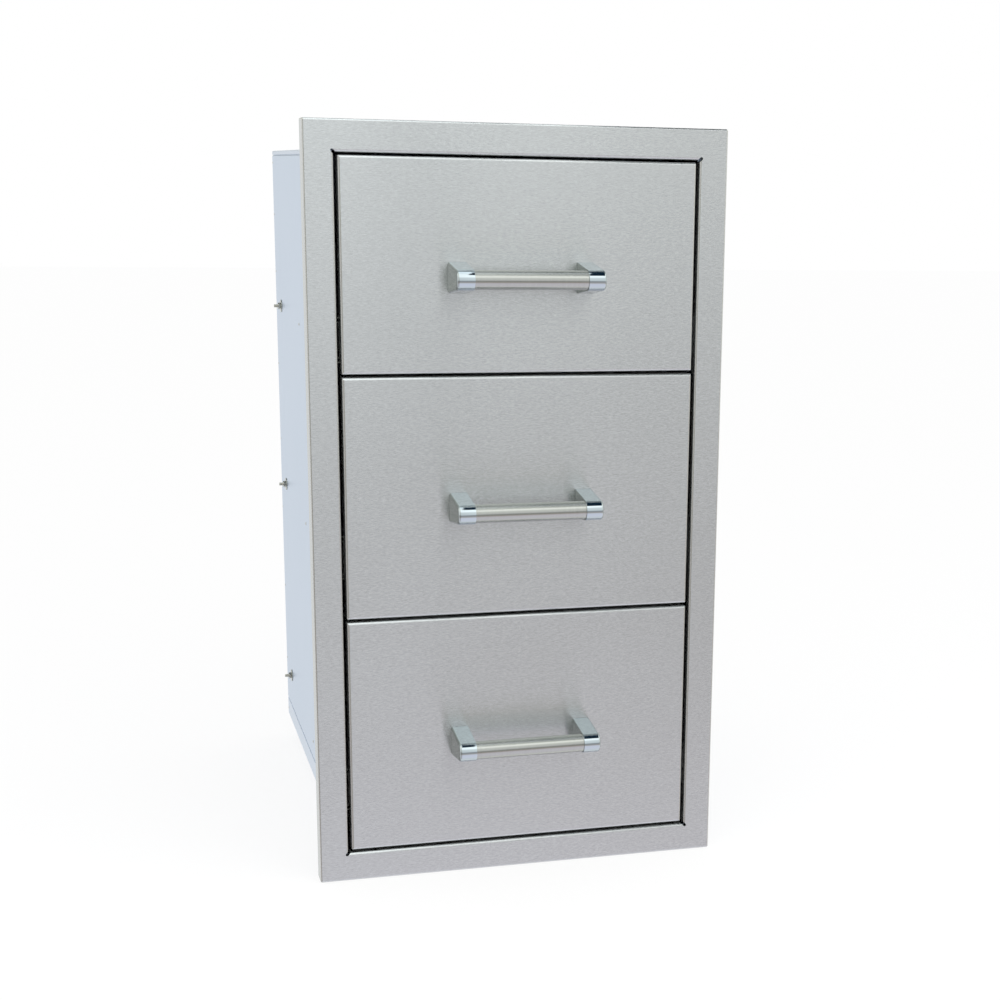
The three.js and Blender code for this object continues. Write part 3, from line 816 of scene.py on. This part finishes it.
def handle_post(level, side, sizes):
    """A cast post: straight flanks into a round nose, a rounded outer side, and a socket for the tube."""
    node = f"{level}_drawer_handle_post_{side}"
    low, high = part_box(node)
    tube_low, tube_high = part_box(f"{level}_drawer_handle_tube")
    sign = -1 if side == "left" else 1
    outer, inner = (low.x, high.x) if side == "left" else (high.x, low.x)
    nose, turned = sizes.post_nose, sizes.post_round
    nose_y, middle_z = low.y + nose, (low.z + high.z) / 2
    half = (high.z - low.z) / 2
    rings = [
        (outer - sign * turned * (1 - math.cos(a)), turned * (1 - math.sin(a))) for a in quarter_turn(8)
    ]
    rings += [
        (inner + sign * HANDLE_EASE * (1 - math.sin(a)), HANDLE_EASE * (1 - math.cos(a)))
        for a in quarter_turn(3)
    ]
    bm = bmesh.new()
    loops = []
    for x, inset in rings:
        outline = post_outline(high.y, nose_y, middle_z, half, nose, inset, sizes.curve_steps)
        loops.append([bm.verts.new((x, y, z)) for y, z in outline])
    walls(bm, loops, closed=False)
    bm.faces.new(loops[0])
    bm.faces.new([ring[0] for ring in loops] + [ring[-1] for ring in reversed(loops)])
    # The inner side, with the mouth of the socket
    bore = circle((tube_high.z - tube_low.z) / 2 + SOCKET_ROOM, SOCKET_FACES)
    mouth, bottom = [
        [bm.verts.new((x, nose_y + y, middle_z + z)) for y, z in bore]
        for x in (inner, inner + sign * SOCKET_DEPTH)
    ]
    walls(bm, [mouth, bottom])
    bm.faces.new(bottom)
    rim = [bm.edges.get(pair) for ring in (loops[-1], mouth) for pair in zip(ring, ring[1:] + ring[:1])]
    bmesh.ops.triangle_fill(bm, edges=rim, use_beauty=True, use_dissolve=False)
    closed_piece(node, f"{level}_handle_post_{side}", bm, "post", None, sharp=35)


def handle_tube(level, sizes):
    """The handle's tube, a straight shell with eased ends that sit in the posts."""
    node = f"{level}_drawer_handle_tube"
    low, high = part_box(node)
    radius = (high.z - low.z) / 2
    y, z = (low.y + high.y) / 2, (low.z + high.z) / 2
    inside = radius - sizes.tube_wall
    start, length = low.x + HANDLE_EASE, high.x - low.x - 2 * HANDLE_EASE
    section = [(low.x, inside), (low.x, radius - HANDLE_EASE)]
    section += [(start + length * k / TUBE_SPANS, radius) for k in range(TUBE_SPANS + 1)]
    section += [(high.x, radius - HANDLE_EASE), (high.x, inside)]
    bm = bmesh.new()
    loops = [[bm.verts.new((x, y + u, z + v)) for u, v in circle(r, TUBE_FACES)] for x, r in section]
    walls(bm, loops + loops[:1])
    closed_piece(node, f"{level}_handle_bar", bm, "tube", "turned", sharp=35)


class BuildHandles(bpy.types.Operator):
    """Handles: a tube between two cast posts, and the screws that hold them"""

    bl_idname = "drawer_unit.handles"
    bl_label = "Handles"

    def execute(self, context):
        sizes = context.scene.unit_sizes
        for level in LEVELS:
            handle_tube(level, sizes)
            for side in SIDES:
                handle_post(level, side, sizes)
                screw = NODES[f"{level}_drawer_handle_screw_{side}"]
                screw.data.materials.clear()
                screw.data.materials.append(finish("zinc"))
        return {"FINISHED"}


# Trays, slides and box

TRAY_LIP = 6 * MM
# Sheet of each kind of rail, and how deep its turned-in edges are
RAILS = {"box_rail": (1.2 * MM, 4.2 * MM), "middle_rail": (1.0 * MM, 4.2 * MM), "drawer_rail": (1.2 * MM, 0)}
# How far the back panel reaches into its neighbours, so that no light comes through the box
BACK_REACH = 0.25 * MM
# How far the box stays behind the frame's rolled edge, in the dark behind its slots
FRONT_SETBACK = 4 * MM


class BuildTrays(bpy.types.Operator):
    """Trays: a folded pan with turned lips, and its back"""

    bl_idname = "drawer_unit.trays"
    bl_label = "Trays"

    def execute(self, context):
        sizes = context.scene.unit_sizes
        sheet = sizes.tray_sheet
        t = sheet / 2
        for level in LEVELS:
            pan = f"{level}_drawer_tray_pan"
            low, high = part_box(pan)
            x = high.x - TRAY_LIP - t
            right = [(x, low.z + t), (x, high.z - t), (x + TRAY_LIP + t, high.z - t)]
            line = [(-x, z) for x, z in reversed(right)] + right
            folded_sheet(pan, f"{level}_drawer_pan", line, sheet, "tray", "Y")
            # The thinner sheet has a smaller round
            back = f"{level}_drawer_tray_back"
            rounded_copy(back, f"{level}_drawer_back", "tray", "X", sizes.edge_round * 0.8)
        return {"FINISHED"}


def rail_line(near, far, low, high, sheet, hook):
    """The middle line of a right-hand rail's section, open towards the drawer."""
    t = sheet / 2
    outer, tip = far - t, near + t
    line = [(tip, high - t), (outer, high - t), (outer, low + t), (tip, low + t)]
    if hook:
        line = [(tip, high - hook)] + line + [(tip, low + hook)]
    return line


class BuildSlides(bpy.types.Operator):
    """Slides: box rail, middle rail and drawer rail, each rolled from sheet"""

    bl_idname = "drawer_unit.slides"
    bl_label = "Slides"

    def execute(self, context):
        places = [(level, side, kind) for level in LEVELS for side in SIDES for kind in RAILS]
        for level, side, kind in places:
            sheet, hook = RAILS[kind]
            node = f"{level}_slide_{kind}_{side}"
            low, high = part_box(node)
            # Every rail is drawn on the right, with its back to the box, and turned over for the left
            near, far = sorted((abs(low.x), abs(high.x)))
            line = rail_line(near, far, low.z, high.z, sheet, hook)
            if kind == "drawer_rail":
                # The drawer rail has its back to the tray
                line = [(near + far - x, z) for x, z in line]
            if side == "left":
                line = [(-x, z) for x, z in reversed(line)]
            folded_sheet(node, f"{level}_{kind}_{side}", line, sheet, "zinc", None)
        return {"FINISHED"}


class BuildBox(bpy.types.Operator):
    """Box: side panels, top panel, bottom pan and back panel"""

    bl_idname = "drawer_unit.box"
    bl_label = "Box"

    def execute(self, context):
        sizes = context.scene.unit_sizes
        low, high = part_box("box_back_panel")
        tight = [(axis, low[axis], -BACK_REACH) for axis in (0, 2)]
        tight += [(axis, high[axis], BACK_REACH) for axis in (0, 2)]
        for part in ("side_panel_left", "side_panel_right", "top_panel", "bottom_pan", "back_panel"):
            node = f"box_{part}"
            grain = "Z" if "side" in part or "back" in part else "Y"
            moves = tight if "back" in part else ((1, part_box(node)[0].y, FRONT_SETBACK),)
            rounded_copy(node, f"sheet_{part}", "box", grain, sizes.edge_round, moves)
        return {"FINISHED"}


# Bolts and rivets

# Where the slide bolts' washers lie, a small clearance outside the box, from its middle
WASHER_X = 188.65 * MM
# Height of the bolts' heads, inside the box
BOLT_HEAD = 1.6 * MM
# Heights of the rivets down the rear edge, in millimetres, and how far they are from the edge
REAR_RIVETS = (9, 78, 175, 278, 366, 461, 575, 644, 706)
REAR_RIVET_PLACE = 5 * MM
# Rivets part-way along each slide: distance back and height, in millimetres
SLIDE_RIVETS = ((278, 529), (262, 303), (246, 45))
# The rear rivets' size as a share of the others', and a head's rise as a share of its diameter
REAR_RIVET_SHARE, HEAD_RISE = 0.7, 0.22


class BuildBolts(bpy.types.Operator):
    """Bolts that hold the slides, with their nuts and washers"""

    bl_idname = "drawer_unit.bolts"
    bl_label = "Bolts"

    def execute(self, context):
        sizes = context.scene.unit_sizes
        for side in SIDES:
            sign = -1 if side == "left" else 1
            nodes = [f"{level}_slide_bolt_{side}" for level in LEVELS]
            boxes = [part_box(node) for node in nodes]
            points = [(WASHER_X * sign, (a.y + b.y) / 2, (a.z + b.z) / 2) for a, b in boxes]
            ends = [abs(corner.x) - WASHER_X for corner in boxes[-1]]
            made = drawn_object(f"slide_bolts_{side}", points)
            values = {
                "Thread Pitch": sizes.thread_pitch,
                "Shank From": min(ends) + BOLT_HEAD / 2,
                "Shank To": max(ends),
                "Turn": (0.0, sign * math.pi / 2, 0.0),
                "Material": finish("zinc"),
            }
            grow(made, "Bolt ends", bolt_tree, values)
            shade(made, sharp=30)
            stand_in(made, *nodes)
        return {"FINISHED"}


class BuildRivets(bpy.types.Operator):
    """Rivets down the rear edge of the box and part-way along the slides"""

    bl_idname = "drawer_unit.rivets"
    bl_label = "Rivets"

    def execute(self, context):
        head = context.scene.unit_sizes.rivet_head
        panel_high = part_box("box_side_panel_right")[1]
        for side in SIDES:
            x = panel_high.x * (-1 if side == "left" else 1)
            rear = [(x, panel_high.y - REAR_RIVET_PLACE, z * MM) for z in REAR_RIVETS]
            along = [(x, y * MM, z * MM) for y, z in SLIDE_RIVETS]
            rows = (("rear_rivets", rear, head * REAR_RIVET_SHARE), ("slide_rivets", along, head))
            for name, points, size in rows:
                made = drawn_object(f"{name}_{side}", points)
                values = {"Head Diameter": size, "Head Height": size * HEAD_RISE, "Material": finish("zinc")}
                grow(made, "Rivet heads", rivet_tree, values)
                shade(made, sharp=60)
                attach(made, "cabinet")
        return {"FINISHED"}


# Stage

# What the metal mirrors, by height in degrees: table, its dark far edge, the wall and then the soft light
ROOM_BY_HEIGHT = (
    (-90, (0.93, 0.95, 0.98)),
    (-65, (1.02, 1.00, 1.11)),
    (-40, (0.99, 0.97, 1.12)),
    (-28, (0.95, 0.92, 1.01)),
    (-25, (0.70, 0.60, 0.58)),
    (-22, (0.57, 0.54, 0.54)),
    (-16, (0.54, 0.51, 0.50)),
    (-12, (0.47, 0.46, 0.47)),
    (-5, (0.43, 0.44, 0.46)),
    (1, (0.88, 0.90, 0.92)),
    (10, (0.98, 1.01, 1.03)),
    (20, (1.00, 1.03, 1.04)),
    (28, (1.13, 1.16, 1.18)),
    (37, (1.62, 1.66, 1.66)),
    (60, (1.62, 1.66, 1.66)),
    (75, (1.36, 1.45, 1.50)),
)
# The same room from left to right, as the sideways part of a direction from the tent's middle
ROOM_BY_SIDE = (
    (-1.0, (1.12, 1.06, 1.00)),
    (-0.88, (0.98, 0.92, 0.86)),
    (-0.54, (0.52, 0.50, 0.46)),
    (-0.245, (0.62, 0.60, 0.54)),
    (-0.02, (0.97, 0.98, 0.97)),
    (0.07, (1.01, 1.01, 1.01)),
    (0.39, (1.00, 0.99, 0.98)),
    (0.645, (1.02, 1.00, 0.95)),
    (1.0, (1.22, 1.15, 1.05)),
)
# Brighter and darker stretches of the soft light itself, from left to right
LIGHT_BY_SIDE = (
    (0.07, 1.12),
    (0.10, 1.15),
    (0.12, 0.99),
    (0.145, 0.95),
    (0.16, 0.96),
    (0.184, 1.08),
    (0.26, 1.06),
    (0.30, 1.01),
    (0.36, 0.96),
    (0.39, 0.98),
)
# The stretches come in over these heights, as the upward part of a direction
LIGHT_STARTS = (-0.02, 0.10)
# The tent, whose middle is at the middle of the unit's height. Behind the unit it stands on a rim at a share
# of its radius, and fades over these parts of a direction, backwards and upwards
TENT_RADIUS, TENT_HEIGHT, TENT_RIM = 4.0, 0.36, 0.15
FADE_BACK, FADE_UP = (0.0, -0.12), (0.15, 0.3)
# Half the side of the floor, its distance under the unit, and the share of plain white that the camera sees
FLOOR_HALF, FLOOR_GAP, FLOOR_WHITE = 12.0, 0.2 * MM, 0.8
LAMP_SIZE, LAMP_PLACE, LAMP_TILT = (2.6, 1.1), (0.0, -1.15, 1.25), 35
# Dark felt high above the unit, as outlines in X and Y, which the polished posts mirror as black lines:
# a card for the right posts, a narrow strip for the left ones, and a wide card behind the unit
FELT_HEIGHT = 3.0
FELT_CARDS = (
    ((0.70, -0.06), (0.73, -0.95), (0.83, -1.9), (2.2, -1.9), (2.2, 0.35), (0.70, 0.35)),
    ((0.435, -0.06), (0.462, -0.97), (0.525, -1.7), (0.60, -1.7), (0.545, -0.97), (0.515, -0.06)),
    ((-2.6, 0.36), (2.2, 0.36), (2.2, 2.4), (-2.6, 2.4)),
)
# The camera sees the corners of the frame and the box where the photograph has them
CAMERA_PLACE = (-0.42433, -1.82907, 0.70309)
CAMERA_RIGHT, CAMERA_UP = (0.95477, -0.29666, 0.02025), (0.05299, 0.23677, 0.97012)
CAMERA_LENS, CAMERA_SHIFT = 65.61, (-0.15582, 0.12728)


def reflected_only(card):
    """A part of the studio that only reflections show."""
    for rays in ("camera", "diffuse", "shadow", "volume_scatter", "transmission"):
        setattr(card, f"visible_{rays}", False)


def studio_tent():
    """A dome over the unit and the room in front of it, which the polished metal mirrors."""
    bm = bmesh.new()
    bmesh.ops.create_uvsphere(bm, u_segments=64, v_segments=32, radius=TENT_RADIUS)
    middles = [(face, face.calc_center_median()) for face in bm.faces]
    behind = [face for face, middle in middles if middle.y > 0 and middle.z < TENT_RIM * TENT_RADIUS]
    bmesh.ops.delete(bm, geom=behind, context="FACES")
    bmesh.ops.translate(bm, verts=bm.verts, vec=(0.0, 0.0, TENT_HEIGHT))
    material, tree = new_material("tent_inside")
    material.cycles.emission_sampling = "NONE"
    tent = mesh_object("studio_tent", bm, material)
    place = add(tree, "ShaderNodeTexCoord").outputs["Object"]
    middle = {0: place, 1: (0.0, 0.0, TENT_HEIGHT)}
    from_middle = add(tree, "ShaderNodeVectorMath", middle, operation="SUBTRACT")
    way = add(tree, "ShaderNodeVectorMath", {0: from_middle}, operation="NORMALIZE")
    part = add(tree, "ShaderNodeSeparateXYZ", {0: way}).outputs
    height, across = [
        add(tree, "ShaderNodeMath", {0: part[axis], 1: 0.5, 2: 0.5}, operation="MULTIPLY_ADD")
        for axis in "ZX"
    ]
    heights = [(math.sin(math.radians(e)), tone) for e, tone in ROOM_BY_HEIGHT]
    light = [(x, (share, share, share)) for x, share in LIGHT_BY_SIDE]
    tones = []
    # A colour ramp for each, over a part of the direction from -1 to 1
    for factor, stops in ((height, heights), (across, ROOM_BY_SIDE), (across, light)):
        ramp = add(tree, "ShaderNodeValToRGB", {0: factor})
        elements = ramp.color_ramp.elements
        while len(elements) < len(stops):
            elements.new(0.5)
        for element, (at, tone) in zip(elements, stops):
            element.position = at * 0.5 + 0.5
            element.color = (*tone, 1.0)
        tones.append(ramp)
    by_height, by_side, stretches = tones
    # How far a direction is into the light, and into the tent: its rim fades into the white studio behind it
    in_light, front, above = [
        add(tree, "ShaderNodeMapRange", {"Value": part[axis], "From Min": start, "From Max": end})
        for axis, (start, end) in (("Z", LIGHT_STARTS), ("Y", FADE_BACK), ("Z", FADE_UP))
    ]
    lit = add(tree, "ShaderNodeMix", {0: in_light, 6: WHITE, 7: stretches}, data_type="RGBA")
    side = {0: 1.0, 6: by_side, 7: lit.outputs[2]}
    side = add(tree, "ShaderNodeMix", side, data_type="RGBA", blend_type="MULTIPLY")
    room = {0: 1.0, 6: by_height, 7: side.outputs[2]}
    room = add(tree, "ShaderNodeMix", room, data_type="RGBA", blend_type="MULTIPLY")
    inside = add(tree, "ShaderNodeMath", {0: front, 1: above}, operation="MAXIMUM")
    tone = add(tree, "ShaderNodeMix", {0: inside, 6: WHITE, 7: room.outputs[2]}, data_type="RGBA")
    glow = add(tree, "ShaderNodeEmission", {"Color": tone.outputs[2]})
    add(tree, "ShaderNodeOutputMaterial", {"Surface": glow})
    reflected_only(tent)


def white_studio():
    """A plain white world, which the camera and the metal see behind the unit."""
    world = bpy.data.worlds.new("white_studio")
    world.use_nodes = True
    tree = world.node_tree
    tree.nodes.clear()
    white = add(tree, "ShaderNodeBackground", {"Color": WHITE})
    add(tree, "ShaderNodeOutputWorld", {"Surface": white})
    return world


def pale_floor():
    """A floor that is white to the camera, as the backdrop is, and keeps the unit's shadow."""
    z, half = CAD_BOX[0].z - FLOOR_GAP, FLOOR_HALF
    corners = [(-half, -half, z), (half, -half, z), (half, half, z), (-half, half, z)]
    floor = drawn_object("floor", corners, faces=[(0, 1, 2, 3)])
    material, tree = new_material("pale_table")
    rays = add(tree, "ShaderNodeLightPath").outputs
    matt = add(tree, "ShaderNodeBsdfDiffuse", {"Color": (0.93, 0.93, 0.93, 1.0)})
    white = add(tree, "ShaderNodeEmission", {"Color": WHITE})
    pale = add(tree, "ShaderNodeMath", {0: rays["Is Camera Ray"], 1: FLOOR_WHITE}, operation="MULTIPLY")
    shown = add(tree, "ShaderNodeMixShader", {0: pale, 1: matt, 2: white})
    # Metal mirrors the room below the table's edge too, so its rays pass the floor
    clear = add(tree, "ShaderNodeBsdfTransparent")
    mix = add(tree, "ShaderNodeMixShader", {0: rays["Is Glossy Ray"], 1: shown, 2: clear})
    add(tree, "ShaderNodeOutputMaterial", {"Surface": mix})
    floor.data.materials.append(material)


def soft_lamp(power):
    """A large soft lamp above the front, which reflections don't show."""
    key = bpy.data.lights.new("key_softbox", "AREA")
    key.shape = "RECTANGLE"
    key.size, key.size_y = LAMP_SIZE
    key.energy = power
    lamp = new_object("key_softbox", key)
    lamp.location = LAMP_PLACE
    lamp.rotation_euler = (math.radians(LAMP_TILT), 0.0, 0.0)
    lamp.visible_glossy = False


def black_felt():
    """The cards of dark felt."""
    material, tree = new_material("black_felt")
    glow = add(tree, "ShaderNodeEmission", {"Color": linear("1b2f3f")})
    add(tree, "ShaderNodeOutputMaterial", {"Surface": glow})
    bm = bmesh.new()
    for outline in FELT_CARDS:
        bm.faces.new([bm.verts.new((x, y, FELT_HEIGHT)) for x, y in outline])
    reflected_only(mesh_object("ceiling_flag", bm, material))


def photo_camera():
    """A camera at the photograph's viewpoint."""
    camera = bpy.data.cameras.new("photo_camera")
    camera.sensor_width = 36.0
    camera.lens = CAMERA_LENS
    camera.shift_x, camera.shift_y = CAMERA_SHIFT
    camera.clip_start, camera.clip_end = 0.05, 60.0
    seat = new_object("photo_camera", camera)
    right = Vector(CAMERA_RIGHT).normalized()
    back = right.cross(Vector(CAMERA_UP).normalized()).normalized()
    up = back.cross(right).normalized()
    turn = Matrix((right, up, back)).transposed()
    seat.matrix_world = Matrix.Translation(CAMERA_PLACE) @ turn.to_4x4()
    return seat


class BuildStage(bpy.types.Operator):
    """Floor, white studio, what the metal mirrors, soft light and the camera"""

    bl_idname = "drawer_unit.stage"
    bl_label = "Stage"

    def execute(self, context):
        scene = context.scene
        pale_floor()
        scene.world = white_studio()
        studio_tent()
        soft_lamp(scene.unit_looks.key_power)
        black_felt()
        scene.camera = photo_camera()
        scene.view_settings.view_transform = "Standard"
        return {"FINISHED"}


OPERATORS = (
    BuildFaceFrame, BuildDrawerFronts, BuildHandles, BuildTrays, BuildSlides, BuildBox, BuildBolts,
    BuildRivets, BuildStage,
)


class DrawerUnitPanel(bpy.types.Panel):
    """Lists the pieces of the drawer unit"""

    bl_idname = "VIEW3D_PT_drawer_unit"
    bl_label = "Drawer unit"
    bl_space_type = "VIEW_3D"
    bl_region_type = "UI"
    bl_category = "Drawer unit"

    def draw(self, context):
        layout = self.layout
        for group in (context.scene.unit_sizes, context.scene.unit_looks):
            for name in group.bl_rna.properties.keys():
                if name not in ("rna_type", "name"):
                    layout.prop(group, name)
        for operator in OPERATORS:
            layout.operator(operator.bl_idname)


CLASSES = (UnitSizes, UnitLooks) + OPERATORS + (DrawerUnitPanel,)


def register():
    for made in CLASSES:
        bpy.utils.register_class(made)
    bpy.types.Scene.unit_sizes = PointerProperty(type=UnitSizes)
    bpy.types.Scene.unit_looks = PointerProperty(type=UnitLooks)


def unregister():
    del bpy.types.Scene.unit_looks
    del bpy.types.Scene.unit_sizes
    for made in reversed(CLASSES):
        bpy.utils.unregister_class(made)


def main():
    register()
    bpy.ops.drawer_unit.stage()
    bpy.ops.drawer_unit.face_frame()
    bpy.ops.drawer_unit.drawer_fronts()
    bpy.ops.drawer_unit.handles()
    bpy.ops.drawer_unit.trays()
    bpy.ops.drawer_unit.slides()
    bpy.ops.drawer_unit.box()
    bpy.ops.drawer_unit.bolts()
    bpy.ops.drawer_unit.rivets()


if __name__ == "__main__":
    main()
